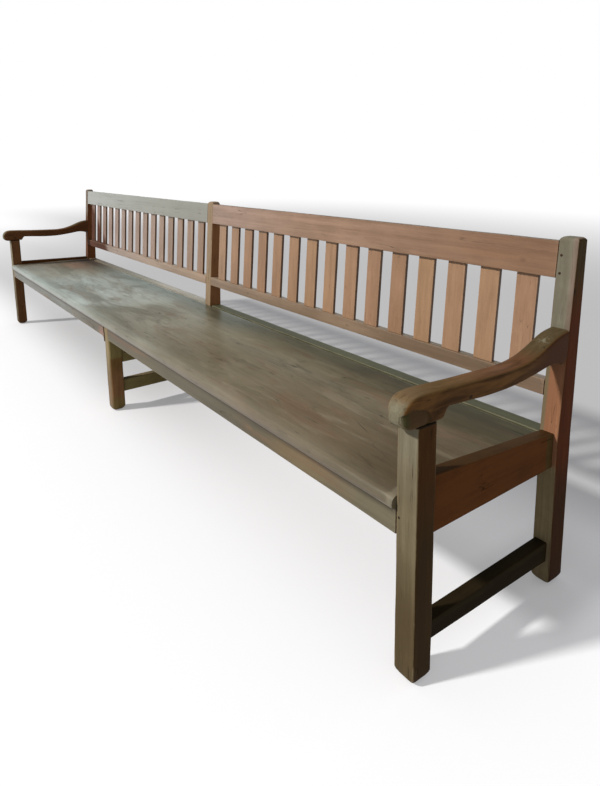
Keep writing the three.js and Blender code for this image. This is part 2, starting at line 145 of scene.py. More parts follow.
# %% Sockets that can be added and multiplied
class Socket:
    """One output of a shader node. Plus, minus, times and abs on it add Math nodes."""

    def __init__(self, finish, socket):
        self.finish = finish
        self.socket = socket

    def maths(self, operation, *values, clamp=False):
        settings = {"operation": operation, "use_clamp": clamp}
        return self.finish.add("ShaderNodeMath", settings, dict(enumerate(values)))

    def __add__(self, other):
        return self.maths("ADD", self, other)

    def __sub__(self, other):
        return self.maths("SUBTRACT", self, other)

    def __rsub__(self, other):
        return self.maths("SUBTRACT", other, self)

    def __mul__(self, other):
        return self.maths("MULTIPLY", self, other)

    def __abs__(self):
        return self.maths("ABSOLUTE", self)

    __radd__ = __add__
    __rmul__ = __mul__

    def clamped(self):
        return self.maths("ADD", self, 0, clamp=True)

    def step(self, start, end):
        """Nought below start, one above end, and smooth between."""
        settings = {"interpolation_type": "SMOOTHSTEP", "clamp": True}
        return self.finish.add("ShaderNodeMapRange", settings, {0: self, 1: start, 2: end, 3: 0, 4: 1})


# %% Nets of nodes
def colour_of(value):
    """A colour of three numbers gets its fourth one; a link stays as it is."""
    return value if isinstance(value, Socket) else (*value, 1.0)


class Net:
    """The nodes of one finish, or of the world, and the calls that add to them."""

    def __init__(self, tree):
        self.tree = tree
        self.places = None

    def add(self, kind, settings=None, sockets=None, output=0):
        """Adds a node, with its settings first and then the values or links of its sockets."""
        node = self.tree.nodes.new(kind)
        for name, value in (settings or {}).items():
            setattr(node, name, value)
        for key, value in (sockets or {}).items():
            self.join(node.inputs[key], value)
        return Socket(self, node.outputs[output])

    def join(self, target, value):
        if isinstance(value, Socket):
            self.tree.links.new(value.socket, target)
        else:
            target.default_value = value

    def mix(self, share, first, second, blend="MIX"):
        """Goes from the first colour to the second one."""
        settings = {"data_type": "RGBA", "blend_type": blend}
        sockets = {0: share, 6: colour_of(first), 7: colour_of(second)}
        return self.add("ShaderNodeMix", settings, sockets, output=2)

    def times(self, first, second):
        """Multiplies two colours."""
        return self.mix(1.0, first, second, blend="MULTIPLY")

    def ray(self, *kinds):
        """One for light rays of the kinds that are named, and nought for the others."""
        shares = [self.add("ShaderNodeLightPath", output=f"Is {kind} Ray") for kind in kinds]
        return sum(shares[1:], shares[0]).clamped()

    def axes(self, vector):
        """The three parts of a vector."""
        node = self.add("ShaderNodeSeparateXYZ", sockets={0: vector}).socket.node
        return [Socket(self, node.outputs[i]) for i in range(3)]

    def place(self):
        """The point's place in the bench's own frame, as one vector."""
        return self.add("ShaderNodeTexCoord", output="Object")

    def xyz(self):
        """Where the point lies in the bench's own frame, in metres."""
        if self.places is None:
            self.places = self.axes(self.place())
        return self.places

    def facing(self, axis):
        """How far a face looks along an axis: 0 for X, 1 for Y and 2 for Z."""
        return self.axes(self.add("ShaderNodeNewGeometry", output="Normal"))[axis]

    def noise(self, scales, detail=3, roughness=0.55, distortion=0.0, shift=(0, 0, 0)):
        """Soft noise, with its own number of waves a metre along X, Y and Z."""
        place = self.add("ShaderNodeMapping", sockets={0: self.place(), 1: shift, 3: scales})
        sockets = {"Vector": place, "Scale": 1.0, "Detail": detail, "Roughness": roughness,
                   "Distortion": distortion}
        return self.add("ShaderNodeTexNoise", {"noise_dimensions": "3D"}, sockets)

    def attribute(self, name):
        return self.add("ShaderNodeAttribute", {"attribute_name": name}, output="Fac")

    def spot(self, centre, radii, softness=0.5, turn=0.0):
        """One inside an ellipsoid round a point, falling to nought at its skin; turn is about Z."""
        place = self.place()
        if turn:
            sockets = {"Vector": place, "Center": centre, "Angle": turn}
            place = self.add("ShaderNodeVectorRotate", {"rotation_type": "Z_AXIS"}, sockets)
        away = self.add("ShaderNodeVectorMath", {"operation": "SUBTRACT"}, {0: place, 1: centre})
        scaled = self.add("ShaderNodeVectorMath", {"operation": "DIVIDE"}, {0: away, 1: radii})
        length = self.add("ShaderNodeVectorMath", {"operation": "LENGTH"}, {0: scaled}, output="Value")
        return 1 - length.step(1 - softness, 1)

    def bump(self, height, strength, depth):
        sockets = {"Strength": strength, "Distance": depth, "Height": height}
        return self.add("ShaderNodeBump", sockets=sockets)


class Finish(Net):
    """A material, its net and its shader."""

    def __init__(self, name):
        self.material = bpy.data.materials.new(name)
        self.material.use_nodes = True
        super().__init__(self.material.node_tree)
        self.shader = self.tree.nodes["Principled BSDF"]

    def set(self, **values):
        """Joins values to the shader's own sockets, named with underscores."""
        for name, value in values.items():
            self.join(self.shader.inputs[name.replace("_", " ")], value)


# %% [markdown]
# ## The floor's finish and the world
# A white floor would light the bench from below as strongly as a sheet of paper does. So the floor is white
# for the camera and for reflections only, through a little light of its own, and greyer for the light that
# it passes on. The world does the same. Under and behind the bench a broad soft shade is painted into the
# floor's colour. Each step in it goes from one place to another in metres, along the bench on x and away
# from it on y.

# %% Floor finish
floor_seen = (0.75, 0.747, 0.755)
floor_glow = (0.305, 0.302, 0.305)
floor_bounce = (0.42, 0.415, 0.42)
behind_depth = 0.50
left_depth, middle_depth = 0.22, 0.10
near_post_depth, end_frame_depth = 0.08, 0.22
black, white = (0.0, 0.0, 0.0), (1.0, 1.0, 1.0)

floor_finish = Finish("pale_floor")
x, y, _ = floor_finish.xyz()
seen = floor_finish.ray("Camera", "Glossy", "Transmission")
behind = y.step(0.27, 0.9)
fading = 1 - y.step(3, 12)
under_depth = (1 - x.step(-0.4, 1.3)) * left_depth + (1 - x.step(-0.4, 0.3)) * middle_depth
under_depth = under_depth + (1 - x.step(1.7, 2.0)) * near_post_depth
under = y.step(-0.42, 0.05) * (1 - behind) * under_depth
far_back = y.step(1.0, 2.6)
beside = x.step(-11, -3) * (1 - far_back) + x.step(-16, -5) * far_back
beside = beside * (1 - x.step(1.9, 3.4))
in_end_frame = x.step(1.72, 1.86) * (1 - x.step(2.0, 2.1)) * y.step(0.05, 0.16) * (1 - y.step(0.35, 0.6))
shade = (behind * fading * behind_depth + under) * beside
shade_colour = floor_finish.mix((1 - shade - in_end_frame * end_frame_depth).clamped(), black, white)
lit = floor_finish.times(shade_colour, floor_seen)
glow = floor_finish.times(shade_colour, floor_glow)
floor_finish.set(Base_Color=floor_finish.mix(seen, floor_bounce, lit), Roughness=0.9)
floor_finish.set(Emission_Color=floor_finish.mix(seen, black, glow), Emission_Strength=1.0)
floor_finish.set(Specular_IOR_Level=0.0)
floor.data.materials.append(floor_finish.material)

# %% World
world_fill = (0.36, 0.37, 0.385)
world_level = (0.86, 1.0, 0.98)
world_above = (0.29, 0.30, 0.29)

world = bpy.data.worlds.new("studio")
bpy.context.scene.world = world
world.use_nodes = True
studio = Net(world.node_tree)
height = studio.axes(studio.add("ShaderNodeTexCoord", output="Generated"))[2]
reflected = studio.mix(height.step(0.14, 0.32), world_level, world_above)
colour = studio.mix(studio.ray("Glossy"), world_fill, reflected)
colour = studio.mix(studio.ray("Camera", "Transmission"), colour, white)
background = world.node_tree.nodes["Background"]
studio.join(background.inputs[0], colour)
background.inputs[1].default_value = 1.0
print("floor and world made, with", len(world.node_tree.nodes), "nodes in the world")

# %% [markdown]
# ## One recipe for old varnished wood
# All the members are of one wood, but light, hands and feet have aged them differently. The recipe lays
# fibres, streaks and clouds over each other, all drawn out along the grain. Faces that look along the bench
# get a darker colour of their own: partly dark varnished wood, partly painted shade. Arrises are worn
# through to pale wood, using how far each point is from its nearest arris, which the modelling stores on the
# mesh.

# %% Colours as a paint chart gives them
shade_level = 0.38


def tint(red, green, blue):
    """A colour from 0 to 255 made linear, as shaders need it."""
    return tuple(((v / 255 + 0.055) / 1.055) ** 2.4 for v in (red, green, blue))


def in_shade(red, green, blue):
    """The paint of a face that no lamp reaches, given the colour that it shows there."""
    return tuple(v / shade_level for v in tint(red, green, blue))


def scaled(colour, *factors):
    return tuple(v * f for v, f in zip(colour, factors))


# %% The recipe
along_share = {"X": (0.035, 1, 1), "Y": (1, 0.05, 1), "Z": (1, 1, 0.05)}
crack_colour = tint(34, 25, 15)
fibre_waves, streak_waves, band_waves = 420, 70, 16
crack_waves, pore_waves = 34, 1100


def drawn_out(grain, waves):
    """Waves a metre across the grain, and far fewer along it."""
    return tuple(waves * share for share in along_share[grain])


def old_wood(name, grain, paint, varnish_and_shade, worn, gloss=0.42, shine=0.3, contrast=0.28, clouds=0.5, wear=0.6,
             cracks=0.6, depth=1.2 * mm, matt=None):
    """A finish of old wood. Both of its colours are given as colours, or as functions that make them from
    the net.
    """
    finish = Finish(name)
    tone = finish.attribute("tone")
    arris = finish.attribute("arris")
    fibres = finish.noise(drawn_out(grain, fibre_waves), detail=4, roughness=0.65)
    streaks = finish.noise(drawn_out(grain, streak_waves), detail=5, roughness=0.6, distortion=0.6)
    bands = finish.noise(drawn_out(grain, band_waves), detail=3, roughness=0.5, distortion=0.9)
    cloud = finish.noise((3.1, 6.5, 5.3), detail=4, roughness=0.6)
    patchy = finish.noise((9, 9, 9), detail=2, shift=(4.1, 2.7, 9.2))
    share = streaks * 0.45 + bands * 0.35 + fibres * 0.20 + tone * 0.12 + (cloud - 0.5) * clouds
    low = scaled((1 - contrast,) * 3, 1, 0.97, 0.93)
    high = scaled((1 + contrast,) * 3, 1, 1.01, 1.03)
    figure = finish.mix(share.step(0.30, 0.72), low, high)

    front, side_varnish_and_shade = [coat(finish) if callable(coat) else coat for coat in (paint, varnish_and_shade)]
    # Faces that look along the bench take the second colour: partly dark varnished wood, partly painted
    # shade.
    sideways = abs(finish.facing(0)).step(0.4, 0.85)
    colour = finish.times(finish.mix(sideways, front, side_varnish_and_shade), figure)

    lines = finish.noise(drawn_out(grain, crack_waves), detail=2, roughness=0.4, shift=(2.2, 5.1, 0.7))
    crack = (1 - abs(lines - 0.5).step(0.0, 0.007)) * patchy.step(0.50, 0.60)
    pores = finish.noise(drawn_out(grain, pore_waves), detail=2).step(0.58, 0.72)
    colour = finish.mix((crack * cracks + pores * 0.18).clamped(), colour, crack_colour)

    ragged = finish.noise((60, 60, 60), detail=3)
    bare = 1 - (arris - ragged * 0.006 * (patchy.step(0.35, 0.7) + 0.25)).step(0.0, 0.0025)
    colour = finish.mix((bare * wear).clamped(), colour, worn)

    sheen = gloss + (cloud - 0.5) * 0.16 + (fibres - 0.5) * 0.12 + crack * 0.2
    if matt is not None:
        sheen = sheen + matt(finish)
    height = fibres * 0.5 + streaks * 0.8 + cloud * 0.6 - crack * 1.5
    finish.set(Base_Color=colour, Roughness=sheen.clamped(), Normal=finish.bump(height, 0.35, depth))
    finish.set(Specular_IOR_Level=shine)
    return finish.material


def along_bench(finish, stops):
    """A colour that changes from the far end to the near one; stops hold a place on X and a colour."""
    x = finish.xyz()[0]
    colour = stops[0][1]
    for (start, _), (end, after) in zip(stops, stops[1:]):
        colour = finish.mix(x.step(start, end), colour, after)
    return colour


# %% [markdown]
# ## The finishes of the bench
# The seat and the fronts of the legs have gone grey and olive from washing and daylight. The back is a
# warm pinkish brown where people lean, and the arms are darker from hands. Towards the far end the seat and
# the rails of the back are painted paler: a painted reflection of a bright room, seen at a grazing angle.

# %% Legs
arm_seam = (0.6045, 0.6060)
nail_hole = (1.896, -0.2805, 0.387)


def seamed(finish, colour):
    """A dark line where the arm rests on the leg."""
    return finish.mix(finish.xyz()[2].step(*arm_seam) * 0.8, colour, crack_colour)


def leg_paint(finish):
    z = finish.xyz()[2]
    colour = finish.mix(z.step(0.14, 0.40), tint(96, 82, 58), tint(125, 114, 90))
    colour = finish.mix(z.step(0.40, 0.60) * 0.8, colour, tint(137, 130, 110))
    hole = finish.spot(nail_hole, (0.004, 0.02, 0.0045))
    return seamed(finish, finish.mix(hole * 0.9, colour, crack_colour))


def leg_varnish_and_shade(finish):
    near = finish.mix(finish.xyz()[2].step(0.30, 0.50), in_shade(40, 27, 9), in_shade(48, 29, 9))
    return seamed(finish, along_bench(finish, [(-1.0, in_shade(74, 50, 30)), (1.0, near)]))


def middle_leg_paint(finish):
    z = finish.xyz()[2]
    colour = finish.mix(z.step(0.05, 0.30), tint(122, 101, 78), tint(140, 124, 94))
    return finish.mix(z.step(0.0, 0.06), tint(124, 108, 84), colour)


def middle_leg_varnish_and_shade(finish):
    z = finish.xyz()[2]
    colour = finish.mix(z.step(0.03, 0.09), in_shade(82, 68, 40), in_shade(88, 63, 40))
    colour = finish.mix(z.step(0.16, 0.23), colour, in_shade(78, 58, 32))
    return finish.mix(z.step(0.246, 0.262) * 0.8, colour, in_shade(86, 78, 48))


leg_wood = old_wood("leg_taupe", "Z", leg_paint, leg_varnish_and_shade, worn=tint(128, 112, 84), gloss=0.5,
                    shine=0.03)
middle_leg_wood = old_wood("middle_leg_brown", "Z", middle_leg_paint, middle_leg_varnish_and_shade,
                           worn=tint(120, 98, 66), gloss=0.5, shine=0.03, wear=0.3)


# %% Members of the end frames
def side_rail_varnish_and_shade(finish):
    y = finish.xyz()[1]
    return finish.mix(y.step(0.214, 0.219) * 0.85, in_shade(55, 30, 10), in_shade(45, 35, 16))


side_wood = old_wood("side_rail_red_brown", "Y", tint(62, 42, 22), side_rail_varnish_and_shade, worn=tint(78, 53, 30),
                     gloss=0.5, shine=0.02, contrast=0.34, wear=0.4)
stretcher_wood = old_wood("stretcher_dark", "Y", tint(46, 37, 22), in_shade(27, 21, 11),
                          worn=tint(54, 43, 25), gloss=0.6, shine=0.02, wear=0.3)
inner_wood = old_wood("inner_board", "Y", tint(118, 103, 76), in_shade(84, 74, 46), worn=tint(104, 90, 62),
                      gloss=0.6, shine=0.04, wear=0.3)


# %% Rails and slats of the back
def top_rail_paint(finish):
    # Towards the middle post the rail is painted paler, partly as a painted reflection seen at a grazing
    # angle.
    colour = along_bench(finish, [(0.1, tint(152, 127, 112)), (1.0, tint(148, 118, 96)),
                                  (1.85, tint(126, 95, 72))])
    figure = finish.spot((1.70, 0.31, 0.880), (0.17, 0.1, 0.022), softness=0.8)
    colour = finish.mix(figure * 0.35, colour, tint(118, 84, 60))
    knot = finish.spot((1.797, 0.31, 0.872), (0.016, 0.1, 0.010), softness=0.9)
    colour = finish.mix(knot * 0.4, colour, tint(78, 52, 36))
    return dark_top(finish, colour)


def dark_top(finish, colour, share=0.75):
    """Makes what looks straight up darker."""
    return finish.mix(finish.facing(2).step(0.6, 0.95) * share, colour, tint(84, 62, 44))


def far_rail_paint(finish):
    # The far rail is painted pale grey-green: a painted reflection of a bright room, seen at a grazing
    # angle.
    return along_bench(finish, [(-1.9, tint(151, 151, 143)), (0.0, tint(130, 127, 117))])


def far_post_dark_patch(finish):
    """The dark patch where the back meets the far post, wider towards the seat."""
    x, _, z = finish.xyz()
    return 1 - (x + z * 1.3).step(-0.80, -0.70)


# Mixes a dark red-brown into a colour over that patch.
def with_far_post_dark_patch(finish, colour):
    return finish.mix(far_post_dark_patch(finish) * 0.95, colour, tint(80, 42, 25))


def far_post_patch_matt(finish):
    return far_post_dark_patch(finish) * 0.5


def lower_rail_paint(finish):
    # Paler towards the far end, partly as a painted reflection seen at a grazing angle.
    colour = along_bench(finish, [(-1.6, tint(158, 140, 128)), (0.2, tint(148, 126, 106)),
                                  (1.1, tint(138, 115, 93)), (1.75, tint(121, 100, 79)),
                                  (1.88, tint(136, 113, 93))])
    return with_far_post_dark_patch(finish, colour)


def slat_paint(finish):
    tone = finish.attribute("tone")
    colour = finish.mix((tone + 0.5).clamped(), tint(154, 119, 93), tint(156, 122, 90))
    far = along_bench(finish, [(-1.6, tint(140, 112, 98)), (-1.3, tint(153, 130, 117)),
                               (0.0, tint(150, 124, 105))])
    x, _, z = finish.xyz()
    colour = finish.mix(x.step(-0.2, 0.4), with_far_post_dark_patch(finish, far), colour)
    # Painted shadow: the slats are darker just under the top rail.
    return finish.mix(z.step(0.830, 0.852) * 0.35, colour, tint(104, 74, 54))


slat_varnish_and_shade = in_shade(58, 40, 26)
rail_varnish_and_shade = in_shade(60, 38, 22)
top_rail_wood = old_wood("top_rail_brown", "X", top_rail_paint, rail_varnish_and_shade, worn=tint(140, 112, 88),
                         gloss=0.42, shine=0.25, wear=0.3)
far_rail_wood = old_wood("top_rail_grey_green", "X", far_rail_paint, rail_varnish_and_shade, worn=tint(160, 152, 134),
                         gloss=0.36, shine=0.45, contrast=0.2, wear=0.4)
lower_rail_wood = old_wood("lower_rail_brown", "X", lower_rail_paint, rail_varnish_and_shade, worn=tint(150, 124, 98),
                           gloss=0.42, shine=0.3, wear=0.3, matt=far_post_patch_matt)
slat_wood = old_wood("slat_pink_brown", "Z", slat_paint, slat_varnish_and_shade, worn=tint(165, 130, 102), gloss=0.42,
                     shine=0.3, contrast=0.2, clouds=0.3, wear=0.3, cracks=0.35, matt=far_post_patch_matt)
peg_wood = old_wood("peg_end_grain", "Y", tint(58, 42, 28), tint(48, 34, 22), worn=tint(66, 50, 34),
                    gloss=0.6, shine=0.1)


# %% Posts
post_head = (0.915, 0.925)


def post_paint(finish):
    x, _, z = finish.xyz()
    # Above the arms the fronts are painted grey: partly weathered wood, partly a painted sheen.
    upper = finish.mix(x.step(1.926, 1.940) * 0.6, tint(129, 124, 108), tint(139, 116, 104))
    middle = finish.mix(x.step(1.901, 1.909), tint(130, 118, 92), tint(163, 116, 86))
    near = finish.mix(z.step(0.655, 0.700), middle, upper)
    # Low down the near post's front is painted paler: painted light against the shadow that the seat and
    # rails cast there.
    near = finish.mix(z.step(0.335, 0.360), tint(150, 134, 102), near)
    far = finish.mix(z.step(0.72, 0.80), tint(104, 66, 44), tint(134, 120, 108))
    return finish.mix(x.step(-1.0, 1.0), far, near)


def post_varnish_and_shade(finish):
    x, _, z = finish.xyz()
    near = finish.mix(z.step(0.72, 0.88), in_shade(59, 26, 6), in_shade(44, 32, 10))
    near = finish.mix(z.step(0.22, 0.42), in_shade(41, 22, 5), near)
    spot = finish.spot((1.947, 0.2787, 0.810), (0.02, 0.006, 0.014))
    near = finish.mix(spot * 0.7, near, crack_colour)
    far = finish.mix(z.step(*post_head), in_shade(80, 47, 26), tint(150, 136, 122))
    return finish.mix(x.step(-1.0, 1.0), far, near)


def middle_post_paint(finish):
    return dark_top(finish, tint(135, 114, 90), share=0.3)


def middle_post_varnish_and_shade(finish):
    z = finish.xyz()[2]
    return finish.mix(z.step(*post_head), in_shade(88, 58, 34), tint(140, 116, 96))


post_wood = old_wood("post_grey_and_orange", "Z", post_paint, post_varnish_and_shade, worn=tint(112, 90, 68),
                     gloss=0.5, shine=0.03, wear=0.35)
middle_post_wood = old_wood("middle_post_brown", "Z", middle_post_paint, middle_post_varnish_and_shade,
                            worn=tint(146, 118, 94), gloss=0.45, shine=0.1, wear=0.3)


# %% Arms
def arm_paint(finish):
    y = finish.xyz()[1]
    long = finish.mix(y.step(-0.22, 0.0), tint(112, 87, 52), tint(112, 78, 54))
    long = finish.mix(y.step(0.09, 0.17), long, tint(94, 80, 56))
    colour = finish.mix(y.step(-0.29, -0.20), tint(122, 100, 72), long)
    colour = finish.mix(y.step(-0.322, -0.300), tint(138, 132, 110), colour)
    smears = finish.noise((40, 7, 40), detail=4, distortion=1.2, shift=(1.0, 3.0, 2.0))
    colour = finish.mix(smears.step(0.52, 0.66) * 0.5, colour, tint(64, 46, 28))
    bare_spot = finish.spot((1.925, 0.190, 0.700), (0.022, 0.03, 0.025), softness=0.9)
    mottle = finish.noise((120, 120, 120), detail=3)
    return finish.mix(bare_spot * mottle.step(0.45, 0.6) * 0.7, colour, tint(150, 146, 126))


def arm_varnish_and_shade(finish):
    x, y, _ = finish.xyz()
    gold = finish.noise((14, 5, 30), detail=4, distortion=0.8)
    colour = finish.mix(gold.step(0.36, 0.64), in_shade(46, 28, 11), in_shade(80, 55, 28))
    colour = finish.mix(y.step(0.06, 0.2), colour, in_shade(56, 32, 15))
    knot = finish.spot((1.947, -0.1175, 0.635), (0.02, 0.008, 0.006))
    colour = finish.mix(knot * 0.8, colour, crack_colour)
    roll = finish.mix(y.step(-0.318, -0.296), in_shade(52, 50, 30), in_shade(58, 43, 25))
    colour = finish.mix(finish.attribute("roll"), colour, roll)
    colour = finish.mix(x.step(-1, 1), in_shade(70, 45, 26), colour)
    # Painted shade in the quirk, the groove over the roll.
    return finish.mix(finish.attribute("quirk") * 0.7, colour, in_shade(24, 17, 10))


arm_wood = old_wood("arm_olive_brown", "Y", arm_paint, arm_varnish_and_shade, worn=tint(114, 90, 56), gloss=0.45,
                    shine=0.035, wear=0.3, contrast=0.28)


# %% Seat
def seat_paint(finish):
    x, y, z = finish.xyz()
    # Towards the far end the seat is painted pale and blue-green: a painted reflection of a bright room,
    # seen at a grazing angle, over grey-olive wood.
    colour = along_bench(finish, [(-1.85, tint(108, 94, 74)), (-1.35, tint(132, 126, 110)),
                                  (-0.9, tint(162, 171, 164)), (-0.4, tint(167, 174, 166)),
                                  (0.1, tint(137, 135, 119)), (0.8, tint(116, 108, 86)),
                                  (1.5, tint(104, 92, 69)), (1.85, tint(90, 77, 54))])
    patches = finish.noise((1.9, 5.5, 1), detail=5, roughness=0.6, distortion=0.9, shift=(3.3, 1.2, 0))
    brown = finish.noise((3.2, 12, 1), detail=4, roughness=0.6, distortion=0.9, shift=(1.3, 8.8, 0))
    grime = finish.noise((6, 26, 1), detail=5, roughness=0.65, distortion=1.2, shift=(7.7, 5.2, 0))
    pale = finish.noise((3.2, 20, 1), detail=4, roughness=0.6, distortion=0.9, shift=(5.5, 2.1, 0))
    colour = finish.mix(patches.step(0.45, 0.61) * 0.54, colour, tint(75, 69, 47))
    colour = finish.mix(brown.step(0.52, 0.67) * 0.46, colour, tint(112, 82, 60))
    colour = finish.mix(pale.step(0.54, 0.70) * 0.38, colour, tint(142, 132, 110))
    colour = finish.mix(grime.step(0.56, 0.72) * 0.55, colour, tint(60, 54, 38))
    # A painted highlight along the rounded top of the nose. Towards the far end both it and the nose's front
    # run pale as a painted reflection.
    front = (1 - y.step(-0.285, -0.225)) * (patches * 0.6 + 0.4)
    nose_highlight_colour = along_bench(finish, [(-1.3, tint(182, 196, 192)), (-0.5, tint(186, 196, 188)),
                                      (0.2, tint(168, 168, 154)), (0.9, tint(148, 140, 122)),
                                      (1.6, tint(132, 121, 100)), (1.85, tint(118, 108, 88))])
    colour = finish.mix(front * 0.75, colour, nose_highlight_colour)
    edge = 1 - y.step(-0.292, -0.276)
    front_edge = along_bench(finish, [(-0.5, tint(140, 143, 135)), (0.3, tint(120, 114, 98)),
                                      (1.2, tint(106, 94, 77)), (1.85, tint(102, 91, 71))])
    colour = finish.mix(edge * 0.8, colour, front_edge)
    # Painted shade under the nose.
    shade_under_nose = edge * (1 - z.step(0.408, 0.416))
    colour = finish.mix(shade_under_nose * 0.85, colour, tint(84, 64, 40))
    back = y.step(0.06, 0.20) * (patches * 0.7 + 0.4)
    colour = finish.mix((back * 0.85).clamped(), colour, tint(58, 57, 37))
    corner = finish.spot((-1.90, 0.26, 0.42), (0.75, 0.26, 0.1), softness=0.8)
    colour = finish.mix(corner * 0.9, colour, tint(54, 32, 18))
    # A warm painted reflection of the far post on the seat.
    warm = finish.spot((-1.60, 0.08, 0.42), (0.26, 0.12, 0.1), softness=0.9)
    colour = finish.mix(warm * 0.5, colour, tint(140, 102, 82))
    # Painted shade on the end of the nose, beside the near leg.
    nose_end_shade = x.step(1.872, 1.882) * (1 - y.step(-0.290, -0.281))
    colour = finish.mix(nose_end_shade * 0.8, colour, tint(64, 55, 38))
    shake = finish.spot((1.588, -0.105, 0.43), (0.052, 0.0022, 0.02), turn=math.radians(18))
    split = finish.spot((1.885, -0.2935, 0.420), (0.0022, 0.012, 0.014))
    return finish.mix((shake * 0.7 + split * 0.9).clamped(), colour, crack_colour)


def seat_matt(finish):
    """The seat has lost its sheen along the back of the near half, and in the far corner."""
    x, y, _ = finish.xyz()
    corner = (1 - x.step(-1.8, -1.1)) * y.step(-0.2, 0.1)
    return y.step(0.02, 0.12) * x.step(0.3, 0.9) * 0.35 + corner * 0.45


seat_wood = old_wood("seat_grey_olive", "X", seat_paint, in_shade(50, 44, 28), worn=tint(132, 122, 100),
                     gloss=0.34, shine=0.40, clouds=0.7, contrast=0.2, cracks=0.7, matt=seat_matt)


# %% Aprons and rear rails
def apron_paint(finish):
    colour = along_bench(finish, [(-0.7, tint(112, 112, 104)), (0.2, tint(88, 80, 60)),
                                  (0.9, tint(85, 78, 60)), (1.3, tint(80, 73, 55)),
                                  (1.48, tint(103, 87, 60)), (1.8, tint(99, 91, 69))])
    z = finish.xyz()[2]
    warm = finish.noise((2.2, 3, 9), detail=4, distortion=0.8)
    away = 1 - finish.xyz()[0].step(1.60, 1.80)
    colour = finish.mix(warm.step(0.50, 0.66) * away * 0.6, colour, tint(114, 85, 58))
    rubbed_end = finish.spot((-0.01, -0.28, 0.37), (0.07, 0.05, 0.05), softness=0.8)
    colour = finish.mix(rubbed_end * 0.7, colour, tint(150, 110, 92))
    # Painted shade under the seat's nose: a dark line along the top of the apron.
    return finish.mix(z.step(0.384, 0.400) * 0.85, colour, tint(52, 44, 30))


apron_wood = old_wood("apron_grey_brown", "X", apron_paint, rail_varnish_and_shade, worn=tint(118, 107, 84),
                      gloss=0.45, shine=0.25, wear=0.4)


def rear_rail_paint(finish):
    # Over the far half the rail is painted pale cream, as a painted highlight along its lip.
    return along_bench(finish, [(-1.8, tint(96, 78, 60)), (-1.2, tint(122, 116, 105)),
                                (-0.85, tint(142, 138, 126)), (-0.5, tint(160, 153, 141)),
                                (-0.1, tint(160, 155, 144)), (0.1, tint(76, 75, 53))])


rear_rail_wood = old_wood("rear_rail_olive", "X", rear_rail_paint, rail_varnish_and_shade, worn=tint(124, 118, 96),
                          gloss=0.45, shine=0.2, wear=0.6)
print(len(bpy.data.materials), "finishes")

# %% [markdown]
# ## How a member is made
# Each straight member starts as a cube at its place and size. Its long arrises are beveled at once, and then
# planes cut it across: near every arris, so that the wear stays in a narrow strip, and at even steps along
# its length, so that its faces can be made a little uneven. The unevenness only takes wood away.

# %% Working in edit mode
arris_reach = 12 * mm
gap = 0.3 * mm
hair = gap / 10


@contextmanager
def editing(piece):
    """Edit mode for one piece, with everything in it selected."""
    select_only(piece)
    bpy.ops.object.mode_set(mode="EDIT")
    bpy.ops.mesh.select_all(action="SELECT")
    yield bmesh.from_edit_mesh(piece.data)
    bpy.ops.object.mode_set(mode="OBJECT")


def pick(mesh, kind, test):
    """Selects the corners, edges or faces that pass a test, and nothing else."""
    bpy.ops.mesh.select_all(action="DESELECT")
    bpy.context.tool_settings.mesh_select_mode = (kind == "verts", kind == "edges", kind == "faces")
    for thing in getattr(mesh, kind):
        if test(thing):
            thing.select_set(True)
    mesh.select_flush_mode()


def cut_across(piece, axis, places):
    """Cuts the whole piece by planes across an axis, and keeps both sides."""
    normal = [0, 0, 0]
    normal[axis] = 1
    with editing(piece):
        for place in places:
            point = [0, 0, 0]
            point[axis] = place
            bpy.ops.mesh.select_all(action="SELECT")
            bpy.ops.mesh.bisect(plane_co=point, plane_no=normal)


# %% Modifiers and copies
def modify(piece, kind, **settings):
    """Adds a modifier, gives it its settings and applies it."""
    select_only(piece)
    bpy.ops.object.modifier_add(type=kind)
    modifier = piece.modifiers[-1]
    for name, value in settings.items():
        setattr(modifier, name, value)
    bpy.ops.object.modifier_apply(modifier=modifier.name)


def copy_of(piece, name):
    """A copy with a mesh of its own."""
    select_only(piece)
    bpy.ops.object.duplicate()
    copy = bpy.context.active_object
    copy.name = name
    return copy


def apply_place():
    """Puts the active piece's place, turn and scale into its mesh."""
    bpy.ops.object.transform_apply(location=True, rotation=True, scale=True)


# %% Blocks with rounded arrises
def plain_block(name, low, high):
    """A square block between two corners, to be shaped further."""
    deselect_all()
    low, high = Vector(low), Vector(high)
    bpy.ops.mesh.primitive_cube_add(size=1, location=(low + high) / 2, scale=high - low)
    piece = bpy.context.active_object
    piece.name = name
    apply_place()
    return piece


def block(name, low, high, round_by=2.5 * mm, spacing=60 * mm):
    """A member with its long arrises rounded, and with cuts near them and along its length."""
    low, high = Vector(low), Vector(high)
    size = high - low
    longest = max(range(3), key=lambda i: size[i])
    piece = plain_block(name, low, high)
    half = size[longest] / 2
    with editing(piece) as mesh:
        pick(mesh, "edges", lambda edge: abs(edge.verts[0].co[longest] - edge.verts[1].co[longest]) > half)
        bpy.ops.mesh.bevel(offset=round_by, segments=4, profile=0.5, affect="EDGES")
    for axis in range(3):
        reach = min(arris_reach, size[axis] * 0.34)
        places = [low[axis] + reach, high[axis] - reach]
        if axis == longest:
            count = max(int(size[axis] / spacing), 1)
            places += list(np.linspace(places[0], places[1], count + 1)[1:-1])
        cut_across(piece, axis, places)
    return piece


def mark(piece, name, values):
    """Stores one number for each corner of the mesh."""
    layer = piece.data.attributes.get(name) or piece.data.attributes.new(name, "FLOAT", "POINT")
    layer.data.foreach_set("value", np.asarray(values, np.float32))


def corners_of(piece):
    places = np.empty(len(piece.data.vertices) * 3)
    piece.data.vertices.foreach_get("co", places)
    return places.reshape(-1, 3)


far_off = 1.0


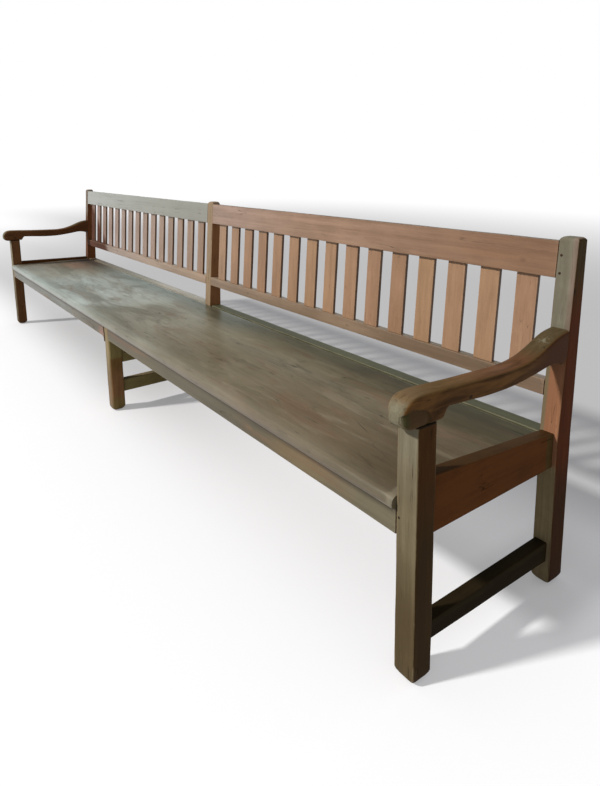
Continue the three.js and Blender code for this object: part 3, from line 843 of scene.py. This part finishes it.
def mark_arrises(piece, low, high):
    """Stores how far each corner is from the nearest arris of a box; a side put far off has no arrises."""
    places = corners_of(piece)
    to_faces = np.minimum(places - np.array(low), np.array(high) - places)
    mark(piece, "arris", np.clip(np.sort(to_faces, axis=1)[:, 1], 0, arris_reach))


# %% Rounded ends
ring_shares = (0.04, 0.15, 0.35, 0.65, 1.0)
plan_round = 0.6


def round_end(piece, axis, at_high, radius):
    """Cuts rings near one end and draws them in, so that the end is rounded all round."""
    places = corners_of(piece)
    low, high = places.min(axis=0), places.max(axis=0)
    end = high[axis] if at_high else low[axis]
    inwards = -1 if at_high else 1
    cut_across(piece, axis, [end + inwards * radius * share for share in ring_shares])
    middle, half = (low + high) / 2, (high - low) / 2
    first, second = sorted({0, 1, 2} - {axis})
    for corner in piece.data.vertices:
        into = max(radius - abs(corner.co[axis] - end), 0)
        inset = radius - math.sqrt(radius ** 2 - into ** 2)
        u = (corner.co[first] - middle[first]) / half[first]
        v = (corner.co[second] - middle[second]) / half[second]
        turn = plan_round * into / radius / 2
        corner.co[first] = middle[first] + u * (half[first] - inset) * math.sqrt(1 - turn * v * v)
        corner.co[second] = middle[second] + v * (half[second] - inset) * math.sqrt(1 - turn * u * u)


# %% Unevenness and smooth shading
uneven_clouds = bpy.data.textures.new("uneven_clouds", "CLOUDS")
uneven_clouds.noise_scale = 0.11
uneven_clouds.noise_depth = 1


def wear_down(piece, depth, ends_on):
    """Takes up to a depth of wood away, and leaves the two ends on one axis where they are."""
    along = corners_of(piece)[:, ends_on]
    modify(piece, "DISPLACE", texture=uneven_clouds, texture_coords="LOCAL", mid_level=0, strength=-depth)
    for i in np.flatnonzero((along < along.min() + hair) | (along > along.max() - hair)):
        piece.data.vertices[i].co[ends_on] = along[i]


rng = np.random.default_rng(11)
smooth_below = math.radians(40)


def settle(piece, node, material, tone=None):
    """Gives a finished piece its finish and tone, puts it under the root body, and hides its node."""
    select_only(piece)
    bpy.ops.object.shade_smooth_by_angle(angle=smooth_below)
    mark(piece, "tone", np.full(len(piece.data.vertices), rng.uniform(-1, 1) if tone is None else tone))
    piece.data.materials.clear()
    piece.data.materials.append(material)
    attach(piece, "root")
    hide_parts(node)
    return piece


# %% [markdown]
# ## Sizes read from the frame
# Nothing is measured twice: the members' faces come from the boxes of their nodes. Where a node's box also
# holds a tenon, its shoulder is worked out from the member that the tenon enters.

# %% Faces of the members
end_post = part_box("back_post_right")
middle_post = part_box("middle_post")
front_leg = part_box("front_leg_right")
middle_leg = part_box("middle_leg")
arm_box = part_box("arm_right")
shoulder = arm_box[0].z - gap


def node_corners(node):
    return np.array([corner.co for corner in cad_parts[node].data.vertices])


post_corners = node_corners("back_post_right")
post_front = end_post[0].y
post_top = end_post[1].z
post_foot_back = post_corners[post_corners[:, 2] < gap][:, 1].max()
knee = post_corners[post_corners[:, 1] < post_front + hair][:, 2].max()
top_front = post_corners[post_corners[:, 2] > post_top - gap][:, 1].min()
lean = math.atan2(top_front - post_front, post_top - knee)
print("knee at", round(knee, 4), "m, and the back leans", round(math.degrees(lean), 2), "degrees")


# %% From the middle frame to an end one
def span_on_x(side, middle, end):
    """Where a member between two frames starts and stops on X; side is 1 for the right half, or -1."""
    inner = middle[1].x + gap if side > 0 else middle[0].x - gap
    outer = side * end[0].x - side * gap
    return min(inner, outer), max(inner, outer)


# %% The back's own upright frame
def upright(places):
    """Turns points of the leaning back upright, about the knee of the posts."""
    y, z = places[:, 1] - post_front, places[:, 2] - knee
    turned = places.copy()
    turned[:, 1] = post_front + y * math.cos(lean) - z * math.sin(lean)
    turned[:, 2] = knee + y * math.sin(lean) + z * math.cos(lean)
    return turned


def upright_box(node):
    places = upright(node_corners(node))
    return Vector(places.min(axis=0)), Vector(places.max(axis=0))


def lean_back(piece):
    """Turns an upright piece back to the lean of the posts."""
    with editing(piece):
        bpy.ops.transform.rotate(value=lean, orient_axis="X", orient_type="GLOBAL",
                                 center_override=(0, post_front, knee))


# %% [markdown]
# ## Legs
# Four-square legs whose long arrises have been knocked and rubbed for years. The middle one is almost round,
# and all the feet are rounded.

# %% Front and middle legs
foot_round = 18 * mm
leg_wear = 2.2 * mm


def leg_piece(node, high_z, round_by, material):
    """A leg up to a height, with its foot rounded."""
    low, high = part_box(node)
    high.z = high_z
    piece = block(f"worn_{node}", low, high, round_by=round_by, spacing=45 * mm)
    wear_down(piece, leg_wear, ends_on=2)
    round_end(piece, 2, False, foot_round)
    mark_arrises(piece, low, high + Vector((0, 0, far_off)))
    return settle(piece, node, material)


leg_piece("front_leg_right", shoulder, 4 * mm, leg_wood)
leg_piece("front_leg_left", shoulder, 4 * mm, leg_wood)
leg_piece("middle_leg", middle_leg[1].z, 13 * mm, middle_leg_wood)
print("legs up to", round(shoulder, 4), "m")


# %% [markdown]
# ## Back posts
# Each post is upright to its knee and then leans back and gets thinner. It starts as a straight block, and
# its corners are moved after the cuts, so that all the cuts lean with it.

# %% Upright posts that lean
post_wear = 1.6 * mm


def post_piece(node, material, top_round):
    """A post, cut while it is straight and then bent at its knee."""
    low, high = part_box(node)
    back = high.y
    straight_high = Vector((high.x, post_foot_back, high.z))
    piece = block(f"worn_{node}", low, straight_high, round_by=3.5 * mm)
    cut_across(piece, 2, [knee])
    wear_down(piece, post_wear, ends_on=2)
    round_end(piece, 2, False, foot_round)
    round_end(piece, 2, True, top_round)
    mark_arrises(piece, low, straight_high)
    depth = post_foot_back - post_front
    top_depth = back - top_front
    for corner in piece.data.vertices:
        rise = max(corner.co.z - knee, 0) / (post_top - knee)
        share = (corner.co.y - post_front) / depth
        corner.co.y += rise * ((top_front - post_front) + share * (top_depth - depth))
    return settle(piece, node, material)


post_piece("back_post_right", post_wood, 7 * mm)
post_piece("back_post_left", post_wood, 9 * mm)
post_piece("middle_post", middle_post_wood, 9 * mm)

# %% [markdown]
# ## Arms
# An arm's side view is a long curve. Its heights are read from the node by casting rays at it, station by
# station, and a block cut at the same stations is pulled to those heights. Its arrises are rounded by the
# same move.

# %% Reading the curve
arm_round = 9 * mm
nose_round = 18 * mm
arm_end_height = 55 * mm
beside_mortise = 12 * mm
over_all, under_all = 2.0, -1.0
arm_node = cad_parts["arm_right"]


def post_front_at(z):
    return post_front + max(z - knee, 0) * math.tan(lean)


def arm_stations():
    """Places along the arm: close together at the nose and at the bracket, and wider apart elsewhere."""
    front = arm_box[0].y
    nose = [front + step * mm for step in (0.8, 2, 4, 7, 11, 16, 22, 29, 37)]
    leg_back = front_leg[1].y
    middle = [front + step * mm for step in range(47, 95, 12)]
    bracket = [leg_back + step * mm for step in range(10, 50, 4)]
    rest_start = leg_back + 52 * mm
    rest_end = post_front_at(arm_box[0].z + arm_end_height) - 2 * mm
    rest = list(np.linspace(rest_start, rest_end, 32))
    return sorted(nose + middle + bracket + rest)


def height_at(y, downwards):
    """The top or the underside of the arm at a place along it."""
    x = (arm_box[0].x + arm_box[1].x) / 2 if downwards else arm_box[0].x + beside_mortise
    start = over_all if downwards else under_all
    hit, place, _, _ = arm_node.ray_cast((x, y, start), (0, 0, -1 if downwards else 1))
    return place.z if hit else None


stations = [y for y in arm_stations() if height_at(y, True) and height_at(y, False)]
tops = [height_at(y, True) for y in stations]
unders = [height_at(y, False) for y in stations]
print(len(stations), "stations along the arm, from", round(stations[0], 4), "to", round(stations[-1], 4))

# %% Rows and columns of corners
near_arris = (0, 0.586 * arm_round, arm_round, arm_round + 6 * mm)
thin_arm = 2.4 * near_arris[-1]
outer_rows = len(near_arris) - 1
rows = 14


def row_height(index, under, top):
    """How high a row lies: rows are close together near the arrises and even between them."""
    squeeze = min(1, (top - under) / thin_arm)
    if index <= outer_rows:
        return under + near_arris[index] * squeeze
    if index >= rows - outer_rows:
        return top - near_arris[rows - index] * squeeze
    lowest, highest = under + near_arris[-1] * squeeze, top - near_arris[-1] * squeeze
    return lowest + (highest - lowest) * (index - outer_rows) / (rows - 2 * outer_rows)


def rounded(from_side, from_edge, radius):
    """Pulls a corner of the square section onto the rounded arris."""
    if from_side >= radius or from_edge >= radius:
        return from_side, from_edge
    a, b = radius - from_side, radius - from_edge
    shrink = max(a, b) / math.hypot(a, b)
    return radius - a * shrink, radius - b * shrink


# %% Modelling the arm
nose_narrowest = 0.7


def arm_piece():
    x_low, x_high = arm_box[0].x, arm_box[1].x
    piece = plain_block("worn_arm_right", (x_low, stations[0], 0), (x_high, stations[-1], 1))
    cut_across(piece, 1, stations[1:-1])
    columns = near_arris[1:]
    cut_across(piece, 0, [x_low + step for step in columns] + [x_high - step for step in columns])
    cut_across(piece, 2, [k / rows for k in range(1, rows)])
    half, middle = (x_high - x_low) / 2, (x_high + x_low) / 2
    arris = []
    for corner in piece.data.vertices:
        x, y, level = corner.co
        top, under = np.interp(y, stations, tops), np.interp(y, stations, unders)
        height = row_height(round(level * rows), under, top)
        upper = level > 0.5
        from_edge = top - height if upper else height - under
        from_side = min(x - x_low, x_high - x)
        arris.append(min(max(from_side, from_edge), arris_reach))
        from_side, from_edge = rounded(from_side, from_edge, arm_round)
        from_front = y - stations[0]
        plan = half
        if from_front < nose_round:
            plan = half - nose_round + math.sqrt(max(nose_round ** 2 - (nose_round - from_front) ** 2, 0))
            plan = max(plan, half - nose_round * nose_narrowest)
        sign = 1 if x > middle else -1
        corner.co.x = middle + sign * (half - from_side) * plan / half
        corner.co.z = top - from_edge if upper else under + from_edge
        if y > stations[-1] - gap:
            corner.co.y = post_front_at(corner.co.z) - gap
    mark(piece, "arris", arris)
    return piece


# %% Carving the roll on the sides of the nose
quirk_places = [(0, 34), (4, 37), (18, 43.5), (24, 46), (35, 44.5), (47, 41), (58, 38), (67, 34), (75, 29),
                (79, 20)]
roll_length = 80 * mm
roll_depth = 3.5 * mm
roll_swell = 2.2 * mm
roll_wall, swell_reach = 2 * mm, 24 * mm
quirk_width, quirk_inset = 1.5 * mm, 0.6 * mm
side_facing = 0.3


def inside_roll(y, z):
    """How far inside the roll a point on the side of the nose lies, and less than nought outside it."""
    along = (y - arm_box[0].y) / mm
    line = np.interp(along, *zip(*quirk_places)) * mm
    return min(line - (z - shoulder), roll_length - along * mm)


def smooth(value):
    value = min(max(value, 0), 1)
    return value * value * (3 - 2 * value)


def carve_roll(piece):
    """Sinks the roll into both sides of the nose, deepest at the quirk line over it."""
    with editing(piece) as mesh:
        pick(mesh, "faces", lambda face: abs(face.normal.x) > side_facing
             and inside_roll(*face.calc_center_median()[1:]) > -arm_round)
        bpy.ops.mesh.subdivide(number_cuts=3)
    piece.data.update()
    roll, quirk = [], []
    sideways = [corner.normal.x for corner in piece.data.vertices]
    for corner, turned in zip(piece.data.vertices, sideways):
        inside = inside_roll(*corner.co[1:])
        depth = roll_depth * smooth(inside / roll_wall) - roll_swell * smooth(inside / swell_reach)
        if abs(turned) > side_facing and inside > 0:
            corner.co.x -= turned * depth
        roll.append(smooth(inside / quirk_width))
        # The quirk value places the painted shade of that groove.
        quirk.append(math.exp(-((inside - quirk_inset) / quirk_width) ** 2))
    mark(piece, "roll", roll)
    mark(piece, "quirk", quirk)


right_arm = arm_piece()
carve_roll(right_arm)
left_arm = copy_of(right_arm, "worn_arm_left")
left_arm.scale.x = -1
apply_place()
with editing(left_arm):
    bpy.ops.mesh.normals_make_consistent(inside=False)
settle(right_arm, "arm_right", arm_wood)
settle(left_arm, "arm_left", arm_wood)
print("an arm has", len(right_arm.data.polygons), "faces")


# %% [markdown]
# ## Rails and stretchers of the frames
# These are blocks between the leg and the post. Some slope: the side rails are higher at the front, and the
# stretcher was trimmed underneath towards the back.

# %% Members that run from front to back
member_wear = 1.2 * mm


def heights_at(corners, place):
    """The lowest and the highest corner of a node near a place on Y."""
    near = corners[np.abs(corners[:, 1] - place) < gap]
    return near[:, 2].min(), near[:, 2].max()


def slope_like(node, piece, low, high):
    """Pulls a level block to its node's heights at the front and at the back."""
    corners = node_corners(node)
    front, back = heights_at(corners, low.y), heights_at(corners, high.y)
    for corner in piece.data.vertices:
        along = (corner.co.y - low.y) / (high.y - low.y)
        up = (corner.co.z - low.z) / (high.z - low.z)
        under = front[0] * (1 - along) + back[0] * along
        over = front[1] * (1 - along) + back[1] * along
        corner.co.z = under + up * (over - under)


def between_frames(node, leg, material, round_by=2 * mm):
    """A member between a leg and its post."""
    low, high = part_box(node)
    low.y, high.y = leg[1].y + gap, post_front - gap
    piece = block(f"worn_{node}", low, high, round_by=round_by)
    wear_down(piece, member_wear, ends_on=1)
    mark_arrises(piece, low, high)
    slope_like(node, piece, low, high)
    return settle(piece, node, material)


between_frames("side_rail_right", front_leg, side_wood)
between_frames("side_rail_left", front_leg, side_wood)
between_frames("stretcher_right", front_leg, stretcher_wood, round_by=3 * mm)
between_frames("stretcher_middle", middle_leg, inner_wood, round_by=3 * mm)
between_frames("seat_bearer", middle_leg, inner_wood)


# %% Cleats under the seat's ends
def cleat_piece(node):
    low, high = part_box(node)
    piece = block(f"worn_{node}", low, high, round_by=1.5 * mm)
    mark_arrises(piece, low, high)
    slope_like(node, piece, low, high)
    return settle(piece, node, inner_wood)


cleat_piece("seat_cleat_right")
cleat_piece("seat_cleat_left")

# %% [markdown]
# ## Seat
# Two wide boards that meet without a visible joint. The front one has a nose worn round by legs, and is
# notched round the end legs.

# %% Seat boards
seat_thickness = 30 * mm
nose_radius = 17 * mm
under_radius = 7 * mm
seat_wear = 0.8 * mm
cut_spacing = (70 * mm, 40 * mm)


def seat_fall():
    """How much the seat falls from front to back, as a slope, and the height of its back edge."""
    corners = node_corners("seat_board_rear")
    low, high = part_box("seat_board_rear")
    front_top, back_top = heights_at(corners, low.y)[1], heights_at(corners, high.y)[1]
    return (front_top - back_top) / (high.y - low.y), back_top


slope, back_height = seat_fall()
level_top = back_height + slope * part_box("seat_board_rear")[1].y


def round_edge(piece, test, radius, steps):
    with editing(piece) as mesh:
        pick(mesh, "edges", lambda edge: all(test(corner.co) for corner in edge.verts))
        bpy.ops.mesh.bevel(offset=radius, segments=steps, profile=0.5, affect="EDGES")


def seat_board(node, at_front):
    """One board of the seat, made level and then sloped."""
    low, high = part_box(node)
    flat_low = Vector((low.x, low.y, level_top - seat_thickness))
    flat_high = Vector((high.x, high.y, level_top))
    piece = plain_block(f"worn_{node}", flat_low, flat_high)
    if at_front:
        round_edge(piece, lambda co: co.y < low.y + gap and co.z > level_top - gap, nose_radius, 8)
        round_edge(piece, lambda co: co.y < low.y + gap and co.z < flat_low.z + gap, under_radius, 4)
    else:
        round_edge(piece, lambda co: co.y > high.y - gap and co.z > level_top - gap, 2 * mm, 3)
    along, across = [int((high[i] - low[i]) / cut_spacing[i]) for i in range(2)]
    cut_across(piece, 0, np.linspace(low.x + arris_reach, high.x - arris_reach, along))
    cut_across(piece, 1, np.linspace(low.y + nose_radius, high.y - arris_reach, across))
    arris_low = flat_low - Vector((far_off, 0 if at_front else far_off, 0))
    arris_high = flat_high + Vector((far_off, far_off if at_front else 0, 0))
    mark_arrises(piece, arris_low, arris_high)
    wear_down(piece, seat_wear, ends_on=1)
    for corner in piece.data.vertices:
        corner.co.z -= slope * corner.co.y
    return piece


# %% Notches round the legs
notch_spare = 1.5 * gap
cutter_front = 100 * mm
cutter_low, cutter_high = 0.2, 0.6


def notch(board, leg_node):
    """Cuts a leg's place out of the board, with a little to spare."""
    low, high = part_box(leg_node)
    cutter = plain_block("cutter", (low.x - notch_spare, low.y - cutter_front, cutter_low),
                         (high.x + notch_spare, high.y + notch_spare, cutter_high))
    modify(board, "BOOLEAN", operation="DIFFERENCE", solver="EXACT", object=cutter)
    bpy.data.objects.remove(cutter)


front_board = seat_board("seat_board_front", True)
notch(front_board, "front_leg_right")
notch(front_board, "front_leg_left")
settle(front_board, "seat_board_front", seat_wood, tone=0.1)
settle(seat_board("seat_board_rear", False), "seat_board_rear", seat_wood, tone=0.1)
print("the seat falls", round(slope * (front_leg[1].y - front_leg[0].y) * 1000, 2), "mm over a leg's depth")


# %% [markdown]
# ## Aprons and rear seat rails
# The aprons hang under the nose of the seat. The left one ends in a small hollow curve at the middle leg.

# %% Aprons
hollow_shares = (0.9, 0.75, 0.6, 0.45, 0.3, 0.15, 0.08)
apron_wear = 1.0 * mm


def apron(word, side):
    """One apron, as long as the seat's front is between two legs."""
    node = f"apron_{word}"
    low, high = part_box(node)
    corners = node_corners(node)
    start, stop = span_on_x(side, middle_leg, front_leg)
    plain = corners[np.abs(corners[:, 0] - (stop if side > 0 else start)) < gap]
    under = plain[:, 2].min()
    hollow_depth = under - low.z
    low, high = Vector((start, low.y, under)), Vector((stop, high.y, high.z))
    piece = block(f"worn_{node}", low, high, round_by=1.8 * mm)
    if side < 0:
        cut_across(piece, 0, [high.x - hollow_depth * share for share in hollow_shares])
    wear_down(piece, apron_wear, ends_on=0)
    mark_arrises(piece, low, high)
    for corner in piece.data.vertices:
        up = (corner.co.z - low.z) / (high.z - low.z)
        corner.co.z -= slope * (corner.co.y - low.y) * up
        if side < 0:
            into = max(corner.co.x - (high.x - hollow_depth), 0) / hollow_depth
            drop = hollow_depth * (1 - math.sqrt(max(1 - into * into, 0)))
            corner.co.z -= drop * (1 - up) ** 3
    return settle(piece, node, apron_wood)


apron("right", 1)
apron("left", -1)


# %% Rear seat rails
rear_rail_wear = 0.8 * mm


def rear_rail(word, side):
    """A rail behind the seat, with a lip under the board's back edge."""
    node = f"rear_seat_rail_{word}"
    low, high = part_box(node)
    corners = node_corners(node)
    start, stop = span_on_x(side, middle_post, end_post)
    top_corners = corners[corners[:, 2] > high.z - gap]
    lip_top = heights_at(corners, low.y)[1]
    body_low, body_high = Vector((start, top_corners[:, 1].min(), low.z)), Vector((stop, high.y, high.z))
    piece = block(f"worn_{node}", body_low, body_high, round_by=2 * mm)
    cut_across(piece, 2, [lip_top])
    wear_down(piece, rear_rail_wear, ends_on=0)
    mark_arrises(piece, body_low, body_high)
    with editing(piece) as mesh:
        pick(mesh, "faces", lambda face: face.normal.y < -0.99 and face.calc_center_median().z < lip_top)
        bpy.ops.mesh.extrude_region_move(TRANSFORM_OT_translate={"value": (0, low.y - body_low.y, 0)})
        # An extrusion numbers its new faces in no fixed order, so a sort makes each run the same.
        bpy.ops.mesh.select_all(action="SELECT")
        bpy.ops.mesh.sort_elements(type="CURSOR_DISTANCE", elements={"VERT", "EDGE", "FACE"})
    return settle(piece, node, rear_rail_wood)


rear_rail("right", 1)
rear_rail("left", -1)


# %% [markdown]
# ## The back
# Rails and slats are made upright and then leaned back about the knee of the posts. The slats are one piece,
# copied: each copy gets its own mesh, its own tone and its own unevenness.

# %% Rails of the back
back_rail_wear = 1.4 * mm


def back_rail(node, side, material):
    """A rail between two posts, made upright and leaned back."""
    low, high = upright_box(node)
    low.x, high.x = span_on_x(side, middle_post, end_post)
    piece = block(f"worn_{node}", low, high, round_by=2 * mm)
    wear_down(piece, back_rail_wear, ends_on=0)
    mark_arrises(piece, low, high)
    lean_back(piece)
    return settle(piece, node, material)


back_rail("top_rail_right", 1, top_rail_wood)
back_rail("top_rail_left", -1, far_rail_wood)
back_rail("lower_rail_right", 1, lower_rail_wood)
back_rail("lower_rail_left", -1, lower_rail_wood)

# %% Slats
slat_wear = 1.0 * mm
slat_tones = 0.35
slat_nodes = sorted(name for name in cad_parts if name.startswith("slat_"))
first_low, first_high = upright_box(slat_nodes[0])
pattern_slat = block("pattern_slat", first_low, first_high, round_by=1.6 * mm, spacing=45 * mm)
first_middle = (first_low.x + first_high.x) / 2

for node in slat_nodes:
    low, high = upright_box(node)
    piece = copy_of(pattern_slat, f"worn_{node}")
    with editing(piece):
        bpy.ops.transform.translate(value=((low.x + high.x) / 2 - first_middle, 0, 0))
    wear_down(piece, slat_wear, ends_on=2)
    mark_arrises(piece, low, high)
    lean_back(piece)
    settle(piece, node, slat_wood, tone=rng.uniform(-slat_tones, slat_tones))
bpy.data.objects.remove(pattern_slat)
print(len(slat_nodes), "slats")


# %% Pegs
peg_sides = 20
inset_share = 0.3
peg_rise = 0.4 * mm


def peg(node):
    """The end of a peg, with a low dome on its face."""
    low, high = upright_box(node)
    deselect_all()
    radius = (high.x - low.x) / 2
    bpy.ops.mesh.primitive_cylinder_add(vertices=peg_sides, radius=radius, depth=high.y - low.y,
                                        location=(low + high) / 2, rotation=(math.pi / 2, 0, 0))
    piece = bpy.context.active_object
    piece.name = f"worn_{node}"
    apply_place()
    with editing(piece) as mesh:
        pick(mesh, "faces", lambda face: abs(face.normal.y) > 0.9)
        bpy.ops.mesh.inset(thickness=radius * inset_share, depth=0)
        bpy.ops.mesh.inset(thickness=radius * inset_share, depth=peg_rise)
    mark(piece, "arris", np.full(len(piece.data.vertices), arris_reach))
    lean_back(piece)
    return settle(piece, node, peg_wood)


for node in sorted(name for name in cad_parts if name.startswith("peg_")):
    peg(node)

# %% [markdown]
# ## The finished bench
# The box round every shown piece and the count of their triangles are printed. The visual model has to
# fill the same box as the CAD one.

# %% Box and triangles
low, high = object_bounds()
triangles = sum(len(p.data.loop_triangles) or sum(len(f.vertices) - 2 for f in p.data.polygons)
                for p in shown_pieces())
print("visual box:", [round(v, 4) for v in (*low, *high)], "and", triangles, "triangles")
